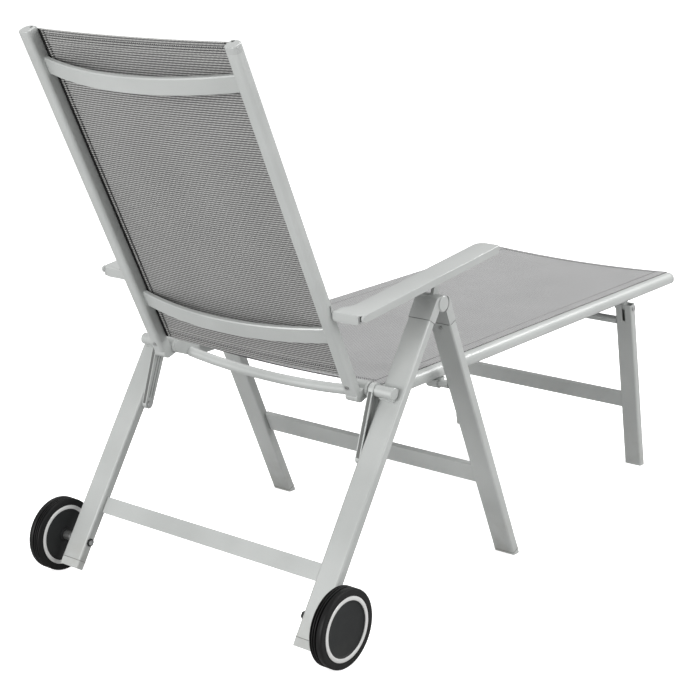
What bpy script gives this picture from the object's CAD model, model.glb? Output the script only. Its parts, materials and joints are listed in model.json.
"""Looks of a folding sun lounger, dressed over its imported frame.

Lengths are metres in the frame's own axes: X across, the foot end at -Y, the floor at Z = 0.
"""

import json
import logging
from collections.abc import Callable, Sequence
from dataclasses import dataclass, field
from enum import Enum
from math import cos, pi, radians, sin

import bmesh
import bpy
from mathutils import Matrix, Vector

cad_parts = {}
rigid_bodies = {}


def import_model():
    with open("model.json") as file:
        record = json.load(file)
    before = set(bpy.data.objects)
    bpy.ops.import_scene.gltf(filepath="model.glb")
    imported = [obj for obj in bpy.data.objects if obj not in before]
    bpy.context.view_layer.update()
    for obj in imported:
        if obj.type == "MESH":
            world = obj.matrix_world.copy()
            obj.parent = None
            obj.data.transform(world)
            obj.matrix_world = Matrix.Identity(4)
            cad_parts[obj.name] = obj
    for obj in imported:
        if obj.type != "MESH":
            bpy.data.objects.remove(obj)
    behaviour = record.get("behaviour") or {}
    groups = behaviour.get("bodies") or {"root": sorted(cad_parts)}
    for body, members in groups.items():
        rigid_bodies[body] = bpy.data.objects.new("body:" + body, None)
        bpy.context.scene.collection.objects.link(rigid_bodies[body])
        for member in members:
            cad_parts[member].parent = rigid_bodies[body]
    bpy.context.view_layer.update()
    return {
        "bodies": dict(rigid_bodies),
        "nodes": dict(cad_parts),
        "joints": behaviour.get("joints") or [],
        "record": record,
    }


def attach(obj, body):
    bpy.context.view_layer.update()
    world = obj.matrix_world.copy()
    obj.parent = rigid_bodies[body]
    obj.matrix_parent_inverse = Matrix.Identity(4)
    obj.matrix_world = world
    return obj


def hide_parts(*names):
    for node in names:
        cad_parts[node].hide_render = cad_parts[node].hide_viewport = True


log = logging.getLogger("sun_lounger")
Piece = bpy.types.Object
Socket = bpy.types.NodeSocket
Point = Sequence[float]
Test = Callable[[Vector, Vector], bool]
Pair = tuple[float, float]
Colour = tuple[float, float, float]
Section = tuple[Pair, ...]
MAIN_HINGE = (0, 0.406, 0.418)
# Cosine past which a direction counts as lying along an axis, and distances that count as none
ALONG_AXIS = 0.9
NEARBY = 1e-4
MERGE_REACH = 1e-6


class Side(Enum):
    """The two sides of the lounger, with the sign of X."""

    LEFT = 1
    RIGHT = -1

    @property
    def label(self) -> str:
        """Name used in node and body names."""
        return self.name.lower()


def grey(value: float) -> Colour:
    """Colour with three equal channels."""
    return value, value, value


# Modelling bench


def deselect_all() -> None:
    """Leave edit mode and clear the selection."""
    active = bpy.context.view_layer.objects.active
    if active is not None and active.mode != "OBJECT":
        bpy.ops.object.mode_set(mode="OBJECT")
    bpy.ops.object.select_all(action="DESELECT")


def pick(piece: Piece) -> None:
    """Make a piece the only selected and the active object."""
    deselect_all()
    piece.select_set(True)
    bpy.context.view_layer.objects.active = piece


def started(name: str) -> Piece:
    """Name the object that an operator has just added.

    Args:
        name: The piece's name.

    Returns:
        The new object.
    """
    piece = bpy.context.view_layer.objects.active
    piece.name = piece.data.name = name
    return piece


def edit(piece: Piece, mode: str = "VERT") -> bmesh.types.BMesh:
    """Open a piece for editing with nothing selected.

    Args:
        piece: The piece to edit.
        mode: What is selected: VERT, EDGE or FACE.

    Returns:
        The mesh under edit.
    """
    pick(piece)
    bpy.ops.object.mode_set(mode="EDIT")
    bpy.ops.mesh.select_mode(type=mode)
    bpy.ops.mesh.select_all(action="DESELECT")
    return bmesh.from_edit_mesh(piece.data)


def select_faces(piece: Piece, test: Test) -> None:
    """Open a piece and select some of its faces.

    Args:
        piece: The piece.
        test: Says of a face's centre and normal whether it is selected.
    """
    mesh = edit(piece, "FACE")
    for face in mesh.faces:
        face.select_set(test(face.calc_center_median(), face.normal))
    bmesh.update_edit_mesh(piece.data)


def round_edges(piece: Piece, amount: float, segments: int, test: Test) -> None:
    """Open a piece and round some of its edges.

    Args:
        piece: The piece.
        amount: Width of the rounding.
        segments: Number of its facets.
        test: Says of an edge's middle and direction whether it is rounded.
    """
    mesh = edit(piece, "EDGE")
    for edge in mesh.edges:
        ends = [vert.co for vert in edge.verts]
        edge.select_set(test((ends[0] + ends[1]) / 2, (ends[1] - ends[0]).normalized()))
    bmesh.update_edit_mesh(piece.data)
    bpy.ops.mesh.bevel(offset=amount, segments=segments, affect="EDGES")


def apply(piece: Piece, kind: str, **settings: object) -> None:
    """Add a modifier and apply it.

    Args:
        piece: The piece.
        kind: The modifier's type.
        **settings: Its settings.
    """
    pick(piece)
    modifier = piece.modifiers.new(kind.title(), kind)
    for key, value in settings.items():
        setattr(modifier, key, value)
    bpy.ops.object.modifier_apply(modifier=modifier.name)


def settle(piece: Piece) -> None:
    """Apply a piece's place to its mesh."""
    pick(piece)
    bpy.ops.object.transform_apply(location=True, rotation=True, scale=True)


def outward(piece: Piece) -> None:
    """Merge doubles and turn the faces outwards.

    Args:
        piece: The piece.
    """
    edit(piece)
    bpy.ops.mesh.select_all(action="SELECT")
    bpy.ops.mesh.remove_doubles(threshold=MERGE_REACH)
    bpy.ops.mesh.normals_make_consistent(inside=False)
    deselect_all()


def reshaped(piece: Piece, move: Callable[[Vector], Vector]) -> None:
    """Put every vertex of a piece at the place that a rule gives it."""
    for vert in piece.data.vertices:
        vert.co = move(vert.co.copy())
    piece.data.update()


def joined(pieces: Sequence[Piece], name: str) -> Piece:
    """Join pieces into one.

    Args:
        pieces: The pieces to join.
        name: The joined piece's name.

    Returns:
        The joined piece.
    """
    deselect_all()
    for piece in pieces:
        piece.select_set(True)
    bpy.context.view_layer.objects.active = pieces[0]
    bpy.ops.object.join()
    return started(name)


def turned(name: str, outline: Sequence[Pair], centre: Point, steps: int = 96) -> Piece:
    """Turn a closed outline about a line along X.

    Args:
        name: The piece's name.
        outline: Pairs of distance along X and radius, round the section.
        centre: A point of the axis.
        steps: Divisions of the turn.

    Returns:
        The turned piece.
    """
    deselect_all()
    bpy.ops.mesh.primitive_circle_add(vertices=len(outline), radius=0.01)
    piece = started(name)
    middle = Vector(centre)
    for vert, (along, radius) in zip(piece.data.vertices, outline):
        vert.co = middle + Vector((along, 0, radius))
    edit(piece)
    bpy.ops.mesh.select_all(action="SELECT")
    bpy.ops.mesh.spin(steps=steps, angle=2 * pi, center=centre, axis=(1, 0, 0))
    outward(piece)
    return piece


def wire(name: str, points: Sequence[Point], radius: float, cyclic: bool = False) -> Piece:
    """Round bead or rod along a line.

    Args:
        name: The piece's name.
        points: Points of the line.
        radius: Radius of the bead.
        cyclic: Whether the line closes.

    Returns:
        The bead as a mesh.
    """
    curve = bpy.data.curves.new(name, "CURVE")
    curve.dimensions = "3D"
    curve.bevel_depth = radius
    curve.bevel_resolution = 3
    curve.use_fill_caps = True
    spline = curve.splines.new("POLY")
    spline.points.add(len(points) - 1)
    for knot, point in zip(spline.points, points):
        knot.co = (*point, 1)
    spline.use_cyclic_u = cyclic
    piece = bpy.data.objects.new(name, curve)
    bpy.context.scene.collection.objects.link(piece)
    pick(piece)
    bpy.ops.object.convert(target="MESH")
    return started(name)


# Effects shared by several finishes


class Sockets(Enum):
    """Socket kinds of an effect's interface."""

    VALUE = "NodeSocketFloat"
    VECTOR = "NodeSocketVector"


@dataclass
class Effect:
    """A named group of shader nodes that puts out masks and heights."""

    name: str
    inputs: dict[str, float]
    outputs: tuple[str, ...]
    tree: bpy.types.NodeTree = field(init=False)

    def __post_init__(self) -> None:
        """Make the group with its sockets."""
        self.tree = bpy.data.node_groups.new(self.name, "ShaderNodeTree")
        face = self.tree.interface
        face.new_socket("Place", in_out="INPUT", socket_type=Sockets.VECTOR.value)
        for label, value in self.inputs.items():
            socket = face.new_socket(label, in_out="INPUT", socket_type=Sockets.VALUE.value)
            socket.default_value = value
        for label in self.outputs:
            face.new_socket(label, in_out="OUTPUT", socket_type=Sockets.VALUE.value)
        self.entry = self.tree.nodes.new("NodeGroupInput")
        self.exit = self.tree.nodes.new("NodeGroupOutput")

    def give(self, socket: Socket, output: str) -> None:
        """Link a socket to one of the group's outputs."""
        self.tree.links.new(socket, self.exit.inputs[output])


class Wiring:
    """Short calls that add nodes to a tree and link them."""

    def __init__(self, tree: bpy.types.NodeTree) -> None:
        """Work on a tree of nodes."""
        self.tree = tree

    def feed(self, node: bpy.types.Node, inputs: dict) -> None:
        """Link sockets to a node's inputs, or set values there.

        Args:
            node: The node.
            inputs: Values or sockets by input name or place.
        """
        for key, value in inputs.items():
            if isinstance(value, Socket):
                self.tree.links.new(value, node.inputs[key])
            else:
                node.inputs[key].default_value = value

    def node(self, kind: str, inputs: dict | None = None, **settings: object) -> bpy.types.Node:
        """Add a node.

        Args:
            kind: The node's type.
            inputs: Values or sockets by input name or place.
            **settings: The node's own settings.

        Returns:
            The new node.
        """
        made = self.tree.nodes.new(kind)
        for key, value in settings.items():
            setattr(made, key, value)
        self.feed(made, inputs or {})
        return made

    def place(self) -> Socket:
        """Object coordinates, in which a pattern keeps its size."""
        return self.node("ShaderNodeTexCoord").outputs["Object"]

    def effect(self, effect: Effect, place: object, **values: float) -> bpy.types.Node:
        """Place an effect with its own values."""
        return self.node("ShaderNodeGroup", {"Place": place, **values}, node_tree=effect.tree)

    def maths(self, operation: str, *values: object) -> Socket:
        """Result of a sum on values or sockets."""
        return self.node("ShaderNodeMath", dict(enumerate(values)), operation=operation).outputs[0]

    def wave(self, place: object) -> Socket:
        """Smooth wave from 0 to 1 with a period of 1."""
        turn = self.maths("MULTIPLY", place, 2 * pi)
        return self.maths("MULTIPLY_ADD", self.maths("COSINE", turn), -0.5, 0.5)

    def noise(self, place: object, scale: object, detail: float = 2.0) -> Socket:
        """Noise from 0 to 1."""
        inputs = {"Vector": place, "Scale": scale, "Detail": detail}
        return self.node("ShaderNodeTexNoise", inputs).outputs[0]

    def fit(self, value: object, low: float, high: float, to_low: float, to_high: float) -> Socket:
        """Map a range of a value to another range."""
        inputs = {0: value, 1: low, 2: high, 3: to_low, 4: to_high}
        return self.node("ShaderNodeMapRange", inputs).outputs[0]

    def blend(self, share: object, first: object, second: object) -> Socket:
        """Mix two colours."""
        mixer = self.node("ShaderNodeMix", {0: share, 6: first, 7: second}, data_type="RGBA")
        return mixer.outputs[2]


class Effects:
    """The effects, each built once."""

    def __init__(self) -> None:
        """Build every effect."""
        self.coating = self._coating()
        self.grime = self._grime()
        self.ribs = self._ribs()

    def _coating(self) -> Effect:
        """Fine orange peel of a sprayed coat, with soft uneven patches."""
        effect = Effect("sprayed_coat", {"Grain": 900.0, "Patch": 7.0}, ("Tone", "Height"))
        wiring = Wiring(effect.tree)
        place, grain, patch = (effect.entry.outputs[k] for k in ("Place", "Grain", "Patch"))
        fine = wiring.noise(place, grain, 1.0)
        broad = wiring.noise(place, patch, 3.0)
        effect.give(wiring.maths("MULTIPLY_ADD", fine, 0.3, wiring.maths("MULTIPLY", broad, 0.7)), "Tone")
        effect.give(fine, "Height")
        return effect

    def _grime(self) -> Effect:
        """Dust that gathers near the floor and in patches."""
        effect = Effect("floor_dust", {"Reach": 0.12, "Strength": 0.5}, ("Mask",))
        wiring = Wiring(effect.tree)
        place, reach, strength = (effect.entry.outputs[k] for k in ("Place", "Reach", "Strength"))
        height = wiring.node("ShaderNodeSeparateXYZ", {0: place}).outputs[2]
        near = wiring.maths("SUBTRACT", 1.0, wiring.maths("DIVIDE", height, reach))
        near = wiring.node("ShaderNodeClamp", {0: near}).outputs[0]
        spots = wiring.fit(wiring.noise(place, 38.0, 4.0), 0.4, 0.7, 0.15, 1.0)
        effect.give(wiring.maths("MULTIPLY", wiring.maths("MULTIPLY", near, spots), strength), "Mask")
        return effect

    def _ribs(self) -> Effect:
        """Ribbed weave: weft ribs across a cloth, broken into offset dashes."""
        sizes = {"Rib": 0.0044, "Dash": 0.0091, "Yarn": 0.0011}
        effect = Effect("ribbed_weave", sizes, ("Tone", "Height"))
        wiring = Wiring(effect.tree)
        place, rib, dash, yarn = (effect.entry.outputs[k] for k in ("Place", "Rib", "Dash", "Yarn"))
        split = wiring.node("ShaderNodeSeparateXYZ", {0: place})
        across, along = split.outputs[0], split.outputs[1]
        row = wiring.maths("DIVIDE", along, rib)
        crest = wiring.wave(row)
        offset = wiring.maths("MULTIPLY", wiring.maths("FLOOR", row), 0.37)
        dashes = wiring.wave(wiring.maths("ADD", wiring.maths("DIVIDE", across, dash), offset))
        yarns = wiring.wave(wiring.maths("DIVIDE", across, yarn))
        fine = wiring.wave(wiring.maths("DIVIDE", along, yarn))
        sharp = wiring.fit(crest, 0.12, 0.86, 0.0, 1.0)
        tone = wiring.maths("MULTIPLY", sharp, wiring.fit(dashes, 0, 1, 0.72, 1.0))
        tone = wiring.maths("MULTIPLY_ADD", yarns, 0.06, tone)
        shift = wiring.noise(place, 9.0, 3.0)
        tone = wiring.maths("MULTIPLY_ADD", wiring.maths("SUBTRACT", shift, 0.5), 0.14, tone)
        effect.give(wiring.node("ShaderNodeClamp", {0: tone}).outputs[0], "Tone")
        weave = wiring.maths("MULTIPLY", yarns, fine)
        effect.give(wiring.maths("MULTIPLY_ADD", weave, 0.35, crest), "Height")
        return effect


# Finishes


@dataclass(frozen=True)
class Finish:
    """A surface finish that makes its own material."""

    name: str
    roughness: float = 0.5

    def material(self, effects: Effects) -> bpy.types.Material:
        """Build the material.

        Args:
            effects: The shared effects.

        Returns:
            The new material.
        """
        made = bpy.data.materials.new(self.name)
        made.use_nodes = True
        made.node_tree.nodes.clear()
        wiring = Wiring(made.node_tree)
        shader = wiring.node("ShaderNodeBsdfPrincipled")
        wiring.node("ShaderNodeOutputMaterial", {"Surface": shader.outputs[0]})
        wiring.feed(shader, self.dress(wiring, effects))
        return made

    def dress(self, wiring: Wiring, effects: Effects) -> dict[str, object]:
        """Work out what feeds the shader; each finish has its own way.

        Args:
            wiring: The material's wiring.
            effects: The shared effects.

        Returns:
            Sockets or values by the shader's input.
        """
        raise NotImplementedError

    def bump(self, wiring: Wiring, height: object, depth: float, strength: float = 1.0) -> Socket:
        """Normal of a surface raised by a height."""
        inputs = {"Strength": strength, "Distance": depth, "Height": height}
        return wiring.node("ShaderNodeBump", inputs).outputs[0]


@dataclass(frozen=True)
class Coating(Finish):
    """A skin between two close tones, dusty near the floor."""

    low: Colour = (0.385, 0.398, 0.390)
    high: Colour = (0.455, 0.468, 0.460)
    dust: Colour = (0.33, 0.315, 0.285)
    grain: float = 1900.0
    depth: float = 0.00006
    gloss: float = 0.0

    def tinted(self, wiring: Wiring, tone: object, mask: object) -> Socket:
        """Colour between the two tones, under the dust."""
        clean = wiring.blend(tone, (*self.low, 1), (*self.high, 1))
        return wiring.blend(mask, clean, (*self.dust, 1))


@dataclass(frozen=True)
class PowderCoat(Coating):
    """Satin silver-grey powder coat on aluminium or on castings."""

    low: Colour = (0.435, 0.450, 0.440)
    high: Colour = (0.520, 0.535, 0.525)
    grain: float = 1400.0
    depth: float = 0.00004
    gloss: float = 0.22
    metallic: float = 0.25
    lacquer: float = 0.22

    def dress(self, wiring: Wiring, effects: Effects) -> dict[str, object]:
        """Satin coat with orange peel, faint flake and dust at the feet.

        Args:
            wiring: The material's wiring.
            effects: The shared effects.

        Returns:
            Sockets or values by the shader's input.
        """
        place = wiring.place()
        coat = wiring.effect(effects.coating, place, Grain=self.grain)
        dusty = wiring.effect(effects.grime, place).outputs["Mask"]
        tone = wiring.fit(coat.outputs["Tone"], 0.3, 0.7, 0.0, 1.0)
        rough = wiring.fit(coat.outputs["Tone"], 0.3, 0.7, self.roughness - 0.05, self.roughness + 0.07)
        return {
            "Base Color": self.tinted(wiring, tone, dusty),
            "Roughness": wiring.maths("MULTIPLY_ADD", dusty, 0.4, rough),
            "Metallic": self.metallic,
            "Coat Weight": self.gloss,
            "Coat Roughness": self.lacquer,
            "Normal": self.bump(wiring, coat.outputs["Height"], self.depth),
        }


@dataclass(frozen=True)
class Moulded(Coating):
    """Moulded plastic with a spark-eroded grain."""

    reach: float = 0.1
    specular: float = 0.4
    lacquer: float = 0.10

    def dress(self, wiring: Wiring, effects: Effects) -> dict[str, object]:
        """Grained plastic with soft flow patches and dust low down.

        Args:
            wiring: The material's wiring.
            effects: The shared effects.

        Returns:
            Sockets or values by the shader's input.
        """
        place = wiring.place()
        coat = wiring.effect(effects.coating, place, Grain=self.grain, Patch=16.0)
        grime = wiring.effect(effects.grime, place, Reach=self.reach, Strength=0.6)
        swing = 0.06
        return {
            "Base Color": self.tinted(wiring, coat.outputs["Tone"], grime.outputs["Mask"]),
            "Roughness": wiring.fit(coat.outputs["Tone"], 0.3, 0.7,
                                    self.roughness - swing, self.roughness + swing),
            "Specular IOR Level": self.specular,
            "Coat Weight": self.gloss,
            "Coat Roughness": self.lacquer,
            "Normal": self.bump(wiring, coat.outputs["Height"], self.depth),
        }


@dataclass(frozen=True)
class PlatedSteel(Finish):
    """Zinc-plated steel with fine turning marks."""

    colour: Colour = (0.55, 0.56, 0.56)
    dark: Colour = (0.36, 0.36, 0.35)
    metallic: float = 0.9
    depth: float = 0.00003

    def dress(self, wiring: Wiring, effects: Effects) -> dict[str, object]:
        """Bright metal with drawn-out scratches and duller patches.

        Args:
            wiring: The material's wiring.
            effects: The shared effects.

        Returns:
            Sockets or values by the shader's input.
        """
        place = wiring.place()
        drawn = wiring.node("ShaderNodeMapping", {0: place, 3: (300, 3000, 3000)}).outputs[0]
        marks = wiring.noise(drawn, 1.0, 2.0)
        patches = wiring.fit(wiring.noise(place, 120.0, 3.0), 0.35, 0.7, 0, 1)
        return {
            "Base Color": wiring.blend(patches, (*self.colour, 1), (*self.dark, 1)),
            "Roughness": wiring.fit(marks, 0.3, 0.7, self.roughness - 0.08, self.roughness + 0.1),
            "Metallic": self.metallic,
            "Normal": self.bump(wiring, marks, self.depth),
        }


@dataclass(frozen=True)
class RibbedSling(Finish):
    """PVC-coated polyester cloth with dark and light weft ribs, on its own UV map."""

    size: Pair = (1.0, 1.0)
    dark: Colour = (0.045, 0.045, 0.047)
    light: Colour = (0.52, 0.52, 0.51)
    sheen: float = 0.15
    depth: float = 0.0004

    def dress(self, wiring: Wiring, effects: Effects) -> dict[str, object]:
        """Ribs, dashes and yarns at their true size over the cloth.

        Args:
            wiring: The material's wiring.
            effects: The shared effects.

        Returns:
            Sockets or values by the shader's input.
        """
        flat = wiring.node("ShaderNodeUVMap").outputs[0]
        place = wiring.node("ShaderNodeMapping", {0: flat, 3: (*self.size, 1.0)}).outputs[0]
        weave = wiring.effect(effects.ribs, place)
        tone = weave.outputs["Tone"]
        return {
            "Base Color": wiring.blend(tone, (*self.dark, 1), (*self.light, 1)),
            "Roughness": wiring.fit(tone, 0, 1, self.roughness + 0.12, self.roughness),
            "Sheen Weight": self.sheen,
            "Normal": self.bump(wiring, weave.outputs["Height"], self.depth, 0.7),
        }


class Wardrobe:
    """Every finish of the lounger, each material made once."""

    def __init__(self, effects: Effects) -> None:
        """List the finishes that cloth sizes don't change.

        Args:
            effects: The shared effects.
        """
        self.effects = effects
        self.finishes: dict[str, Finish] = {
            "frame": PowderCoat("silver_powder_coat", 0.42),
            "fitting": PowderCoat("cast_fitting_coat", 0.48, grain=1000.0, depth=0.00007),
            "moulding": Moulded("light_grey_moulding", 0.46, gloss=0.7),
            "foot": Moulded("grey_foot_plastic", 0.55, low=(0.44, 0.455, 0.445), high=(0.51, 0.525, 0.515)),
            "fastener": PlatedSteel("plated_steel", 0.34),
            "tyre": Moulded("black_tread_rubber", 0.46, low=grey(0.004), high=grey(0.008),
                            dust=(0.016, 0.0155, 0.014), depth=0.00008, specular=0.22),
            "wheel": Moulded("charcoal_disc_plastic", 0.5, low=(0.012, 0.013, 0.014),
                             high=(0.018, 0.020, 0.020), dust=(0.035, 0.034, 0.031), grain=2600.0,
                             specular=0.25),
            "ring": PowderCoat("silver_ring_paint", 0.34, low=(0.66, 0.66, 0.65),
                               high=(0.76, 0.76, 0.75), metallic=0.2, dust=(0.5, 0.49, 0.47)),
            "channel": Moulded("shaded_channel", 0.6, low=(0.10, 0.104, 0.10), high=(0.15, 0.155, 0.15)),
            "welt": Moulded("black_welt", 0.6, low=grey(0.006), high=grey(0.012), specular=0.15),
            "thread": Moulded("dark_thread", 0.7, low=(0.006, 0.006, 0.007), high=grey(0.014),
                              grain=3000.0, specular=0.2),
            "grey_thread": Moulded("grey_thread", 0.7, low=grey(0.16), high=grey(0.22),
                                   grain=3000.0, specular=0.2),
            "shadow": Moulded("dark_gasket", 0.7, low=grey(0.008), high=grey(0.02)),
        }
        self.made: dict[str, bpy.types.Material] = {}

    def get(self, key: str) -> bpy.types.Material:
        """Material of a finish, by its key."""
        if key not in self.made:
            self.made[key] = self.finishes[key].material(self.effects)
        return self.made[key]

    def cloth(self, name: str, size: Pair, **changes: object) -> str:
        """Add a cloth finish for a piece of a given size.

        Args:
            name: Name of the material and its key.
            size: Width and length that the UV map covers.
            **changes: Other fields of the finish.

        Returns:
            The key.
        """
        self.finishes[name] = RibbedSling(name, 0.55, size=size, **changes)
        return name


@dataclass
class Workshop:
    """What every sub-assembly needs: the wardrobe and the way to hand a piece over."""

    wardrobe: Wardrobe

    def hand_over(
        self, piece: Piece, body: str, finish: str, slot: str, replaces: Sequence[str] = (),
        sharp: float = 35.0,
    ) -> Piece:
        """Smooth, dress and mount a finished piece.

        Args:
            piece: The piece, in place.
            body: The body it rides on.
            finish: Key of its finish.
            slot: The record's material slot.
            replaces: CAD nodes that it stands for.
            sharp: Angle in degrees past which an edge stays sharp.

        Returns:
            The piece.
        """
        settle(piece)
        bpy.ops.object.shade_smooth_by_angle(angle=radians(sharp))
        piece.data.materials.clear()
        piece.data.materials.append(self.wardrobe.get(finish))
        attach(piece, body)
        if replaces:
            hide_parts(*replaces)
        log.info("%s rides on %s, %d faces", piece.name, body, len(piece.data.polygons))
        return piece


# Slings


@dataclass(frozen=True)
class BackLine:
    """Line of the back rails: its start beside the main hinge, and its lean."""

    lean: float = radians(25.6)
    offset: float = 0.023

    @property
    def along(self) -> Vector:
        """Direction up the rails."""
        return Vector((0, sin(self.lean), cos(self.lean)))

    @property
    def face(self) -> Vector:
        """Direction out of the front of the back."""
        return Vector((0, -cos(self.lean), sin(self.lean)))

    @property
    def foot(self) -> Vector:
        """Place where the line starts."""
        return Vector(MAIN_HINGE) - self.face * self.offset


@dataclass
class Sling:
    """A cloth stretched between two rails, with its edge welts, folds, hems and stitches.

    Places on it are (across, along, lift): from the middle, from the rail's foot, and off the cloth's
    lower face.
    """

    workshop: Workshop
    name: str
    body: str
    node: str
    origin: Vector
    along: Vector
    up: Vector
    start: float
    length: float
    rests_on: tuple[str, ...]
    light: Colour = (0.41, 0.41, 0.40)
    half_width: float = 0.2244
    base: float = 0.0125
    sag: float = 0.007
    thickness: float = 0.0013
    seam: float = 0.00005
    rail_face: float = 0.216
    edge_gap: float = 0.0006
    end_gap: float = 0.001
    welt_width: float = 0.0058
    welt_bulk: float = 0.0022
    fold_span: Pair = (0.0060, 0.0116)
    fold_bulk: float = 0.0015
    side_stitch: float = 0.0136
    side_stitch_size: Pair = (0.0044, 0.0032)
    stitch_size: Pair = (0.0046, 0.0012)
    stitch_height: float = 0.0011
    stitch_end_gap: float = 0.004
    stitch_share: float = 0.66
    side_under: float = -0.0007
    hem_under: float = -0.0016
    over_lift: float = 0.0001
    hem_width: float = 0.024
    hem_bulk: float = 0.0014
    hem_inset: float = 0.015
    hem_row_shares: Pair = (0.38, 0.62)
    cord_across: float = 0.2235
    cord_lift: float = 0.006
    cord_radius: float = 0.0024
    cord_gap: float = 0.0005
    tab_half: float = 0.0008
    tab_top: float = 0.0002

    @property
    def last(self) -> float:
        """Upper end along the rails."""
        return self.start + self.length

    def place(self, spot: Vector) -> Vector:
        """Point in the frame of a spot on the cloth."""
        share = min(abs(spot.x) / self.half_width, 1.0)
        lift = self.base - self.sag * (1 - share**2) + spot.z
        return self.origin + Vector((spot.x, 0, 0)) + self.along * spot.y + self.up * lift

    def strip(
        self, name: str, across: Point, along: Point, lift: Point, rows: int, columns: int,
        round_edge: float = 0.0,
    ) -> Piece:
        """Flat band laid on the cloth.

        Args:
            name: The band's name.
            across: Its two ends across, lower first.
            along: Its two ends along, lower first.
            lift: Lifts of its lower and upper faces.
            rows: Divisions along.
            columns: Divisions across.
            round_edge: Radius of its long edges.

        Returns:
            The band, in place.
        """
        deselect_all()
        bpy.ops.mesh.primitive_grid_add(x_subdivisions=columns, y_subdivisions=rows, size=1)
        band = started(name)
        width, length = across[1] - across[0], along[1] - along[0]
        middle = Vector(((across[0] + across[1]) / 2, (along[0] + along[1]) / 2, lift[0]))
        reshaped(band, lambda co: Vector((co.x * width, co.y * length, 0)) + middle)
        apply(band, "SOLIDIFY", thickness=lift[1] - lift[0], offset=1)
        if round_edge:
            apply(band, "BEVEL", width=round_edge, segments=2, limit_method="ANGLE")
        reshaped(band, self.place)
        return band

    def stitches(self, name: str, begin: Pair, end: Pair, lift: float, size: Pair) -> Piece:
        """Row of thread stitches between two spots of the cloth.

        Args:
            name: The row's name.
            begin: First spot, (across, along).
            end: Last spot.
            lift: Height of the threads' middle.
            size: Distance from stitch to stitch, and width of a thread.

        Returns:
            The row, in place.
        """
        pitch, bulk = size
        run = Vector((end[0] - begin[0], end[1] - begin[1], 0))
        count = int(run.length / pitch)
        step = run / count
        way = step.normalized()
        cross = Vector((-way.y, way.x, 0))
        deselect_all()
        bpy.ops.mesh.primitive_ico_sphere_add(subdivisions=1, radius=0.5)
        row = started(name)
        reshaped(row, lambda co: Vector((begin[0], begin[1], lift)) + step / 2
                 + way * co.x * pitch * self.stitch_share + cross * co.y * bulk
                 + Vector((0, 0, co.z * self.stitch_height)))
        apply(row, "ARRAY", count=count, use_relative_offset=False, use_constant_offset=True,
              constant_offset_displace=step)
        reshaped(row, self.place)
        return row

    def sew(self, piece: Piece, finish: str) -> Piece:
        """Hand over a piece that is sewn to the cloth."""
        return self.workshop.hand_over(piece, self.body, finish, "sling")

    def keder(self, side: Side) -> Piece:
        """Edge cord of the cloth in a rail's channel, with the tab that joins them.

        Args:
            side: The side.

        Returns:
            The cord with its tab, mounted.
        """
        across = side.value * self.cord_across
        span = (self.start + self.cord_gap, self.last - self.cord_gap)
        ends = [self.origin + Vector((across, 0, 0)) + self.along * place + self.up * self.cord_lift
                for place in span]
        cord = wire(f"{self.name}_keder_{side.label}", ends, self.cord_radius)
        tab = self.strip("tab", (across - self.tab_half, across + self.tab_half), span,
                         (self.cord_lift - self.base, self.tab_top), 4, 1)
        return self.sew(joined((cord, tab), f"{self.name}_keder_{side.label}"), "welt")

    def side_trim(self, side: Side, fold_finish: str) -> list[Piece]:
        """Welt, fold, stitches and edge cord along one side.

        Args:
            side: The side.
            fold_finish: Key of the fold's finish.

        Returns:
            The pieces, mounted.
        """
        sign, label = side.value, side.label
        edge = self.rail_face - self.edge_gap
        span = (self.start + self.end_gap, self.last - self.end_gap)
        made = []
        for kind, reach, bulk, columns, round_edge, finish in (
            ("welt", (0.0, self.welt_width), self.welt_bulk, 3, 0.0006, "welt"),
            ("fold", self.fold_span, self.fold_bulk, 4, 0.0004, fold_finish),
        ):
            across = sorted(sign * (edge - inset) for inset in reach)
            band = self.strip(f"{self.name}_{kind}_{label}", across, span, (-bulk, -self.seam), 90,
                              columns, round_edge)
            made.append(self.sew(band, finish))
        across = sign * (edge - self.side_stitch)
        for face, lift, finish in (("under", self.side_under, "thread"),
                                   ("over", self.thickness + self.over_lift, "grey_thread")):
            row = self.stitches(f"{self.name}_{face}_side_stitches_{label}",
                                (across, self.start + self.stitch_end_gap),
                                (across, self.last - self.stitch_end_gap), lift, self.side_stitch_size)
            made.append(self.sew(row, finish))
        return [*made, self.keder(side)]

    def hem(self, end: str, near: float, far: float, finish: str) -> list[Piece]:
        """Hem at one end of the cloth with its rows of stitches.

        Args:
            end: Name of the end.
            near: Lower end of the hem along.
            far: Upper end along.
            finish: Key of the hem's finish.

        Returns:
            The pieces, mounted.
        """
        inner = self.rail_face - self.hem_inset
        band = self.strip(f"{self.name}_{end}_hem", (-inner, inner), (near, far),
                          (-self.hem_bulk, -self.seam), 6, 40, 0.0005)
        made = [self.sew(band, finish)]
        for number, share in enumerate(self.hem_row_shares):
            along = near + share * self.hem_width
            for face, lift in (("under", self.hem_under), ("over", self.thickness + self.over_lift)):
                row = self.stitches(f"{self.name}_{end}_{face}_stitches_{number}", (-inner, along),
                                    (inner, along), lift, self.stitch_size)
                made.append(self.sew(row, "thread"))
        return made

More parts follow.
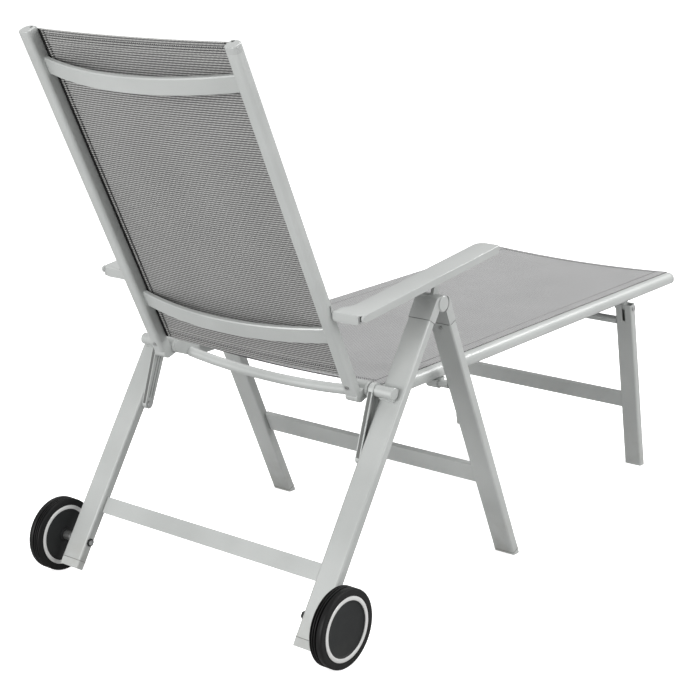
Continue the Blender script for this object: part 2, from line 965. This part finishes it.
    def build(self) -> None:
        """Make the cloth and all that is sewn to it."""
        cloth_finish = self.workshop.wardrobe.cloth
        width, first, last = 2 * self.half_width, self.start, self.last
        weave = cloth_finish(f"{self.name}_weave", (width, self.length), light=self.light)
        folded = cloth_finish(f"{self.name}_fold_weave", (self.welt_width, self.length), dark=grey(0.008),
                              light=(0.38, 0.38, 0.37))
        hemmed = cloth_finish(f"{self.name}_hem_weave", (width, self.hem_width), light=self.light)
        cloth = self.strip(f"{self.name}_cloth", (-self.half_width, self.half_width), (first, last),
                           (0.0, self.thickness), 150, 60)
        self.workshop.hand_over(cloth, self.body, weave, "sling", (self.node,))
        sewn = [piece for side in Side for piece in self.side_trim(side, folded)]
        sewn += self.hem("lower", first, first + self.hem_width, hemmed)
        sewn += self.hem("upper", last - self.hem_width, last, hemmed)


# Armrests


@dataclass
class Armrest:
    """Moulded armrest: a hollow plank with a skirt, a hinge block that meets the rail, and a barrel end.

    Its own places are (across from the middle, forward from the pivot, lift above the pivot).
    """

    workshop: Workshop
    side: Side
    pivot: Point = (0, 0.500, 0.5665)
    rise: float = radians(7.33)
    rail_x: float = 0.2428
    inner_x: float = 0.258
    outer_x: float = 0.306
    top: float = 0.0097
    skirt: float = 0.0134
    front: float = 0.408
    inner_rear: float = -0.0068
    outer_rear: float = 0.0060
    flare: Pair = (0.016, 0.034)
    skin: float = 0.003
    wall: float = 0.0026
    edge_radius: float = 0.0017
    block_outer_x: float = 0.2945
    block_rear: float = -0.0048
    block_front: float = 0.022
    block_drop: float = 0.0082
    block_gap: float = 0.0002
    block_round: float = 0.0042
    block_edge: float = 0.0012
    rib_width: float = 0.0026
    rib_front: float = 0.006
    rib_proud: float = 0.0008
    rib_drop: float = 0.0022
    rib_sink: float = 0.0012
    rib_edge: float = 0.0006
    barrel_y: float = 0.0030
    barrel_radius: float = 0.0066
    barrel_depth: float = 0.0050
    barrel_proud: float = 0.0009
    barrel_edge: float = 0.0008
    web_count: int = 3
    first_web: float = 0.075
    web_pitch: float = 0.045
    web_width: float = 0.0018
    web_clearance: float = 0.0015
    slot_insets: Pair = (0.0082, 0.0054)
    slot_ends: Pair = (-0.0018, 0.010)
    slot_margin: float = 0.0022
    slot_edge: float = 0.0003

    @property
    def floor(self) -> float:
        """Lift of the skirt's lower edge."""
        return self.top - self.skirt

    def spot(self, co: Vector) -> Vector:
        """Point in the frame of a place of the armrest's own."""
        ahead = Vector((0, -cos(self.rise), sin(self.rise)))
        above = Vector((0, sin(self.rise), cos(self.rise)))
        across = Vector((self.side.value * co.x, 0, 0))
        return Vector(self.pivot) + across + ahead * co.y + above * co.z

    def block(self, name: str, low: Point, high: Point) -> Piece:
        """Box between two corners, in the armrest's own places.

        Args:
            name: The box's name.
            low: Its lower corner.
            high: Its upper corner.

        Returns:
            The box.
        """
        deselect_all()
        bpy.ops.mesh.primitive_cube_add(size=1)
        made = started(name)
        a, b = Vector(low), Vector(high)
        size, middle = b - a, (a + b) / 2
        reshaped(made, lambda co: Vector((co.x * size.x, co.y * size.y, co.z * size.z)) + middle)
        return made

    def plank(self) -> Piece:
        """Plank with its flare at the rear, rounded corners and top edge, hollow from below."""
        corners = (
            ((self.outer_x, self.outer_rear), 0.0030), ((self.outer_x, self.front), 0.0070),
            ((self.inner_x, self.front), 0.0170), ((self.inner_x, self.flare[1]), 0.0100),
            ((self.rail_x, self.flare[0]), 0.0020), ((self.rail_x, self.inner_rear), 0.0012),
            ((self.block_outer_x, self.block_rear), 0.0030),
        )
        deselect_all()
        bpy.ops.mesh.primitive_circle_add(vertices=len(corners), radius=0.1, fill_type="NGON")
        plank = started(f"armrest_shell_{self.side.label}")
        for vert, (place, _) in zip(plank.data.vertices, corners):
            vert.co = (*place, self.top)
        edit(plank, "FACE")
        bpy.ops.mesh.select_all(action="SELECT")
        bpy.ops.mesh.extrude_region_move(TRANSFORM_OT_translate={"value": (0, 0, -self.skirt)})
        outward(plank)
        for place, radius in corners:
            round_edges(plank, radius, 8, lambda middle, way: abs(way.z) > ALONG_AXIS
                        and (middle.xy - Vector(place)).length < NEARBY)
        round_edges(plank, self.edge_radius, 4, lambda middle, way: middle.z > self.top - NEARBY)
        select_faces(plank, lambda centre, normal: normal.z < -ALONG_AXIS)
        bpy.ops.mesh.inset(thickness=self.wall, use_even_offset=True)
        rise = self.skirt - self.skin
        bpy.ops.mesh.extrude_region_move(TRANSFORM_OT_translate={"value": (0, 0, rise)})
        return plank

    def hinge_block(self) -> Piece:
        """Block under the plank's rear end that holds the hinge pin."""
        block = self.block("block", (self.rail_x + self.block_gap, self.block_rear, -self.block_drop),
                           (self.block_outer_x, self.block_front, self.top - self.skin))
        round_edges(block, self.block_round, 6,
                    lambda middle, way: abs(way.y) > ALONG_AXIS and middle.z < 0)
        round_edges(block, self.block_edge, 3, lambda middle, way: middle.z < 0
                    and abs(way.y) < ALONG_AXIS and abs(way.z) < ALONG_AXIS)
        return block

    def rib(self) -> Piece:
        """Upright rib between the hinge block and the slot."""
        rear, low = self.block_rear - self.rib_proud, self.floor - self.rib_drop
        rib = self.block("rib", (self.block_outer_x, rear, low),
                         (self.block_outer_x + self.rib_width, self.rib_front, self.top - self.rib_sink))
        round_edges(rib, self.rib_edge, 2, lambda middle, way: middle.y < 0)
        return rib

    def barrel(self) -> Piece:
        """Round end at the outer rear corner."""
        inner, outer = self.outer_x - self.barrel_depth, self.outer_x + self.barrel_proud
        radius, soft = self.barrel_radius, self.barrel_edge
        section = [(inner, 0), (inner, radius - soft), (inner + soft, radius),
                   (outer - soft, radius), (outer, radius - soft), (outer, 0)]
        return turned("barrel", section, (0, self.barrel_y, self.top - radius), 40)

    def webs(self) -> list[Piece]:
        """Cross webs inside the plank."""
        ends = [self.first_web + self.web_pitch * number for number in range(self.web_count)]
        return [self.block("web", (self.inner_x + self.wall, end, self.floor + self.web_clearance),
                           (self.outer_x - self.wall, end + self.web_width, self.top - self.skin))
                for end in ends]

    def slot(self) -> Piece:
        """Dark filling of the slot beside the barrel."""
        inner, outer = (self.outer_x - inset for inset in self.slot_insets)
        rear, front = self.slot_ends
        slot = self.block(f"armrest_slot_{self.side.label}", (inner, rear, self.floor + self.slot_margin),
                          (outer, front, self.top - self.slot_margin))
        round_edges(slot, self.slot_edge, 2, lambda middle, way: abs(way.x) < ALONG_AXIS)
        settle(slot)
        return slot

    def build(self) -> None:
        """Model the armrest and mount it."""
        label = self.side.label
        parts = [self.plank(), self.hinge_block(), self.rib(), self.barrel(), *self.webs()]
        whole = joined(parts, f"armrest_shell_{label}")
        deselect_all()
        for piece, finish, replaces, sharp in (
            (whole, "moulding", (f"armrest_{label}", f"arm_hinge_{label}"), 28),
            (self.slot(), "shadow", (), 35),
        ):
            reshaped(piece, self.spot)
            outward(piece)
            self.workshop.hand_over(piece, f"armrest_{label}", finish, "moulding", replaces, sharp)


# Wheels


@dataclass
class Wheel:
    """Wheel with a grooved tread, a silver ring on each face and a dished disc.

    A section's points are (distance in from the wheel's face, radius); a shoulder's are
    (distance in from the side, drop below the tread); a groove is (place, half width, depth).
    """

    workshop: Workshop
    side: Side
    axle_y: float = 0.604
    axle_z: float = 0.0696
    radius: float = 0.0696
    inner_x: float = 0.326
    width: float = 0.026
    seat: float = 0.0575
    play: float = 0.0001
    grooves: tuple[tuple[float, float, float], ...] = (
        (-0.0088, 0.0013, 0.0036), (-0.0042, 0.0013, 0.0036), (0.0008, 0.0016, 0.0050),
    )
    groove_chamfer: float = 0.0003
    groove_floor_share: float = 0.8
    inner_shoulder: Section = ((0.0, 0.0030), (0.0005, 0.0010), (0.0014, 0.0002))
    outer_shoulder: Section = ((0.0022, 0.0), (0.0010, 0.0004), (0.0002, 0.0016), (0.0, 0.0036))
    rim: Section = ((0.0036, 0.0150), (0.0033, 0.0300), (0.0031, 0.0440), (0.0026, 0.0465),
                    (0.0012, 0.0478))
    rim_face: float = 0.0010
    dish: float = 0.0045
    hub: Section = ((0.0060, 0.0), (0.0060, 0.0052), (0.0, 0.0052), (0.0, 0.0118), (0.0006, 0.0128),
                    (0.0031, 0.0133))
    lip: Section = ((0.0011, 0.0496), (0.0001, 0.0498), (-0.0003, 0.0504), (-0.0003, 0.0562),
                    (0.0001, 0.0568), (0.0011, 0.0570))

    @property
    def half(self) -> float:
        """Half the wheel's width."""
        return self.width / 2

    @property
    def centre(self) -> Vector:
        """The wheel's middle."""
        return Vector((self.side.value * (self.inner_x + self.half), self.axle_y, self.axle_z))

    def tread(self) -> Piece:
        """Tyre with its grooves and shoulders, turned from its inner side to its outer."""
        half, radius, chamfer = self.half, self.radius, self.groove_chamfer
        outline = [(-half, self.seat)]
        outline += [(-half + inset, radius - drop) for inset, drop in self.inner_shoulder]
        for place, reach, depth in self.grooves:
            floor_reach = self.groove_floor_share * reach
            outline += [(place - reach - chamfer, radius), (place - reach, radius - chamfer),
                        (place - floor_reach, radius - depth), (place + floor_reach, radius - depth),
                        (place + reach, radius - chamfer), (place + reach + chamfer, radius)]
        outline += [(half - inset, radius - drop) for inset, drop in self.outer_shoulder]
        outline.append((half, self.seat))
        outline = [(self.side.value * along, distance) for along, distance in outline]
        return turned(f"tyre_tread_{self.side.label}", outline, self.centre)

    def disc(self) -> Piece:
        """Dished disc, plain outside and with its hub inside."""
        sign, half = self.side.value, self.half
        rim = (*self.rim, (self.rim_face, self.seat - self.play))
        outline = [(sign * (half - inset), radius) for inset, radius in ((self.dish, 0.0), *rim)]
        outline += [(-sign * (half - inset), radius) for inset, radius in reversed((*self.hub, *rim))]
        return turned(f"wheel_web_{self.side.label}", outline, self.centre)

    def rings(self) -> Piece:
        """Silver ring on each face."""
        faces = [turned("ring", [(way * (self.half - inset), radius) for inset, radius in self.lip],
                        self.centre) for way in (-1, 1)]
        return joined(faces, f"silver_rings_{self.side.label}")

    def build(self) -> None:
        """Turn the tyre, the disc and the rings, and mount them."""
        label = self.side.label
        for piece, finish, node, sharp in ((self.tread(), "tyre", "tyre", 50),
                                           (self.disc(), "wheel", "wheel_disc", 25),
                                           (self.rings(), "ring", "wheel_rings", 40)):
            self.workshop.hand_over(piece, f"wheel_{label}", finish, finish, (f"{node}_{label}",), sharp)


# Weld beads and small trim


def rounded_box(centre: Vector, wide: Vector, thin: Vector, power: float, count: int) -> list[Vector]:
    """Points round a section between an oval and a box.

    Args:
        centre: Its middle.
        wide: Half its width, as a vector.
        thin: Half its thickness, as a vector.
        power: How square it is; 2 is an oval.
        count: Number of points.

    Returns:
        The points in order.
    """
    points = []
    for step in range(count):
        angle = 2 * pi * step / count
        c, s = cos(angle), sin(angle)
        scale = (abs(c) ** power + abs(s) ** power) ** (-1 / power)
        points.append(centre + wide * c * scale + thin * s * scale)
    return points


@dataclass
class BackBarWelds:
    """Weld beads where the bars of the back meet its rails."""

    workshop: Workshop
    line: BackLine
    radius: float = 0.0014
    across: float = 0.2157
    half_depth: float = 0.00475
    bars: tuple[tuple[str, float, float], ...] = (("upper", 0.615, 0.031), ("lower", 0.126, 0.032))

    def build(self) -> None:
        """Model the beads of each bar, given as (name, place up the rails, height), and mount them."""
        along, deep = self.line.along, self.line.face * self.half_depth
        for name, place, height in self.bars:
            middle = self.line.foot + along * place + deep
            beads = []
            for side in Side:
                centre = middle + Vector((side.value * self.across, 0, 0))
                loop = rounded_box(centre, along * (height / 2), deep, 4.0, 40)
                beads.append(wire("bead", loop, self.radius, cyclic=True))
            whole = joined(beads, f"back_{name}_bar_beads")
            self.workshop.hand_over(whole, "back", "frame", "frame", sharp=60)


@dataclass
class LegSeams:
    """Shadow lines where the plastic caps, plugs and feet meet the leg tubes.

    A leg's line is (Y of a point, height of that point, lean from upright), and a seam is (name, body,
    line, height).
    """

    workshop: Workshop
    leg_x: float = 0.285
    half_width: float = 0.0231
    half_depth: float = 0.0096
    radius: float = 0.0005
    rear: tuple[float, float, float] = (0.3801, 0.418, radians(-32.53))
    front: tuple[float, float, float] = (0.0115, 0.0, radians(24.6))

    def loops(self, line: tuple[float, float, float], height: float) -> list[list[Vector]]:
        """Outlines round both tubes of a pair of legs at a height.

        Args:
            line: The legs' line.
            height: Height of the seam.

        Returns:
            One loop of points for each side.
        """
        line_y, line_z, lean = line
        along = Vector((0, sin(lean), cos(lean)))
        thin = Vector((0, cos(lean), -sin(lean))) * self.half_depth
        wide = Vector((self.half_width, 0, 0))
        middle = Vector((0, line_y, line_z)) + along * ((height - line_z) / along.z)
        return [rounded_box(middle + Vector((side.value * self.leg_x, 0, 0)), wide, thin, 9.0, 64)
                for side in Side]

    def build(self) -> None:
        """Model the seam lines and mount them."""
        for name, body, line, height in (
            ("rear_cap_seams", "rear_frame", self.rear, 0.527),
            ("rear_foot_seams", "rear_frame", self.rear, 0.037),
            ("front_cap_seams", "front_frame", self.front, 0.514),
            ("front_foot_seams", "front_frame", self.front, 0.009),
        ):
            lines = [wire("seam", loop, self.radius, cyclic=True) for loop in self.loops(line, height)]
            self.workshop.hand_over(joined(lines, name), body, "channel", "foot", sharp=60)


@dataclass
class LinkChannels:
    """Shaded channel along the rear edge of each link and two grooves down its inner face."""

    workshop: Workshop
    lower: Point = (0, 0.446, 0.3045)
    upper: Point = MAIN_HINGE
    inner_x: float = 0.2517
    depth: float = 0.010
    lower_radius: float = 0.0095
    upper_radius: float = 0.0132
    channel_half: float = 0.0031
    channel_top_gap: float = 0.004
    channel_proud: float = 0.0003
    groove_place: float = 0.0032
    groove_half: float = 0.0007
    groove_proud: float = 0.0002
    groove_ends: Pair = (0.012, 0.016)
    bar_edge: float = 0.3

    def bar(self, first: Vector, last: Vector, wide: Vector, thin: Vector) -> Piece:
        """Slim bar with softened edges between two points.

        Args:
            first: Middle of one end.
            last: Middle of the other end.
            wide: Half its width, as a vector.
            thin: Half its thickness, as a vector.

        Returns:
            The bar, in place.
        """
        deselect_all()
        bpy.ops.mesh.primitive_cube_add(size=2)
        bar = started("bar")
        round_edges(bar, self.bar_edge, 2, lambda middle, way: abs(way.x) > ALONG_AXIS)
        deselect_all()
        middle, half = (first + last) / 2, (last - first) / 2
        reshaped(bar, lambda co: middle + half * co.x + wide * co.y + thin * co.z)
        outward(bar)
        return bar

    def build(self) -> None:
        """Model the channels of both links and mount them."""
        lower, upper = Vector(self.lower), Vector(self.upper)
        run = upper - lower
        along = run.normalized()
        rear = Vector((0, along.z, -along.y))
        lean = (self.upper_radius - self.lower_radius) / run.length
        face = (rear - along * lean).normalized()
        for side in Side:
            sign = side.value
            across = Vector((sign * (self.inner_x + self.depth / 2), 0, 0))
            first = lower + face * self.lower_radius + across
            last = upper + face * self.upper_radius + across - along * self.channel_top_gap
            bars = [self.bar(first, last, Vector((self.channel_half, 0, 0)), face * self.channel_proud)]
            for way in (-1, 1):
                groove = rear * (way * self.groove_place) + Vector((sign * self.inner_x, 0, 0))
                bars.append(self.bar(lower + along * self.groove_ends[0] + groove,
                                     upper - along * self.groove_ends[1] + groove,
                                     rear * self.groove_half, Vector((self.groove_proud, 0, 0))))
            whole = joined(bars, f"link_channels_{side.label}")
            self.workshop.hand_over(whole, f"link_{side.label}", "channel", "fitting", sharp=60)


# Frame dressing, stage and camera


@dataclass
class FrameDress:
    """Gives every CAD node that stays its finish."""

    workshop: Workshop
    finish_of: dict[str, str] = field(default_factory=dict)

    def build(self, frame: dict) -> None:
        """Assign a finish to each node by the record's own slots.
        """
        wardrobe = self.workshop.wardrobe
        for name, node in frame["nodes"].items():
            slots = node.data.materials
            own = slots[0].name.split(".")[0] if slots else "frame"
            key = self.finish_of.get(name, own if own in wardrobe.finishes else "frame")
            if not slots:
                slots.append(wardrobe.get(key))
            for index in range(len(slots)):
                slots[index] = wardrobe.get(key)
            log.info("%s is dressed as %s", name, key)


@dataclass(frozen=True)
class Lamp:
    """Soft square light that looks at a point."""

    name: str
    place: Point
    aim: Point
    size: float
    power: float

    def hang(self) -> None:
        """Add the light to the scene."""
        deselect_all()
        bpy.ops.object.light_add(type="AREA", location=self.place)
        light = started(self.name)
        light.data.size = self.size
        light.data.energy = self.power
        way = Vector(self.aim) - Vector(self.place)
        light.rotation_euler = way.to_track_quat("-Z", "Y").to_euler()


LAMPS = (
    Lamp("overhead_light", (0.2, -0.4, 4.2), (0, 0, 0.4), 2.6, 78),
    Lamp("side_light", (-4.2, -0.6, 1.9), (0, 0, 0.5), 1.6, 80),
    Lamp("front_light", (-1.7, -3.6, 3.5), (0, 0, 0.5), 1.2, 60),
    Lamp("rear_light", (0.7, 5.0, 1.3), (0, 0.2, 0.6), 2.4, 150),
)


@dataclass
class Stage:
    """Pale floor, soft lights and the camera of the photograph."""

    azimuth: float = radians(-141.890)
    elevation: float = radians(15.406)
    roll: float = radians(0.039)
    lens: float = 85.04
    sensor_width: float = 36.0
    sight: float = 200.0
    eye: Point = (-1.8916, 2.5656, 1.2392)
    floor_size: float = 120
    lamps: tuple[Lamp, ...] = LAMPS

    def axes(self) -> tuple[Vector, Vector, Vector]:
        """The camera's right, up and view directions."""
        a, e = self.azimuth, self.elevation
        right = Vector((cos(a), sin(a), 0))
        ahead = Vector((-sin(a) * cos(e), cos(a) * cos(e), -sin(e)))
        return right, right.cross(ahead), ahead

    def camera(self) -> None:
        """Set the camera at the photograph's place and angle."""
        right, up, ahead = self.axes()
        turn = Matrix((right, up, -ahead)).transposed().to_4x4()
        deselect_all()
        bpy.ops.object.camera_add()
        camera = started("studio_camera")
        camera.data.lens = self.lens
        camera.data.sensor_width = self.sensor_width
        camera.data.clip_end = self.sight
        roll = Matrix.Rotation(self.roll, 4, "Z")
        camera.matrix_world = Matrix.Translation(Vector(self.eye)) @ turn @ roll
        bpy.context.scene.camera = camera

    def floor(self) -> None:
        """Pale flat floor that reaches far behind the lounger and looks brighter than it shines."""
        deselect_all()
        bpy.ops.mesh.primitive_plane_add(size=self.floor_size)
        floor = started("pale_floor")
        made = bpy.data.materials.new("pale_floor")
        made.use_nodes = True
        made.node_tree.nodes.clear()
        wiring = Wiring(made.node_tree)
        patches = wiring.fit(wiring.noise(wiring.place(), 0.8, 2.0), 0.3, 0.7, 0.0, 1.0)
        seen = wiring.blend(patches, (0.92, 0.92, 0.92, 1), (0.95, 0.95, 0.95, 1))
        matt = wiring.node("ShaderNodeBsdfDiffuse", {0: seen})
        dim = wiring.node("ShaderNodeBsdfDiffuse", {0: (0.52, 0.52, 0.52, 1)})
        glow = wiring.node("ShaderNodeEmission", {0: (1, 1, 1, 1), 1: 0.72})
        both = wiring.node("ShaderNodeAddShader", {0: matt.outputs[0], 1: glow.outputs[0]})
        path = wiring.node("ShaderNodeLightPath")
        mixed = wiring.node("ShaderNodeMixShader", {0: path.outputs["Is Camera Ray"],
                                                    1: dim.outputs[0], 2: both.outputs[0]})
        wiring.node("ShaderNodeOutputMaterial", {"Surface": mixed.outputs[0]})
        floor.data.materials.append(made)

    def sky(self) -> None:
        """White surroundings, dimmer as light than as a background."""
        world = bpy.data.worlds.new("white_studio")
        world.use_nodes = True
        world.node_tree.nodes.clear()
        wiring = Wiring(world.node_tree)
        path = wiring.node("ShaderNodeLightPath")
        strength = wiring.fit(path.outputs["Is Camera Ray"], 0, 1, 0.55, 1.1)
        back = wiring.node("ShaderNodeBackground", {0: (1, 1, 1, 1), 1: strength})
        wiring.node("ShaderNodeOutputWorld", {"Surface": back.outputs[0]})
        bpy.context.scene.world = world

    def build(self) -> None:
        """Set the whole stage."""
        bpy.context.scene.view_settings.view_transform = "Standard"
        self.camera()
        self.floor()
        self.sky()
        for lamp in self.lamps:
            lamp.hang()


def build_slings(workshop: Workshop) -> None:
    """Build the back and seat slings.

    Args:
        workshop: What every sub-assembly needs.
    """
    line = BackLine()
    Sling(
        workshop, "back_sling", "back", "back_fabric", origin=line.foot, along=line.along, up=line.face,
        start=0.031, length=0.649, rests_on=("back_rail_left", "back_rail_right"),
    ).build()
    drop, rise = 0.0235, radians(0.68)
    Sling(
        workshop, "seat_sling", "seat", "seat_fabric", origin=Vector(MAIN_HINGE) - Vector((0, 0, drop)),
        along=Vector((0, -cos(rise), sin(rise))), up=Vector((0, sin(rise), cos(rise))),
        start=0.062, length=1.0675, rests_on=("seat_rail_left", "seat_rail_right"),
        light=grey(0.57),
    ).build()


def main() -> None:
    """Load the frame, dress it and set the stage."""
    logging.basicConfig(level=logging.INFO, format="%(message)s")
    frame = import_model()
    workshop = Workshop(Wardrobe(Effects()))
    FrameDress(workshop, {"hinge_stub_left": "fitting", "hinge_stub_right": "fitting",
                          "axle_nuts": "wheel"}).build(frame)
    build_slings(workshop)
    for side in Side:
        Armrest(workshop, side).build()
        Wheel(workshop, side).build()
    BackBarWelds(workshop, BackLine()).build()
    LegSeams(workshop).build()
    LinkChannels(workshop).build()
    Stage().build()
    deselect_all()


if __name__ == "__main__":
    main()
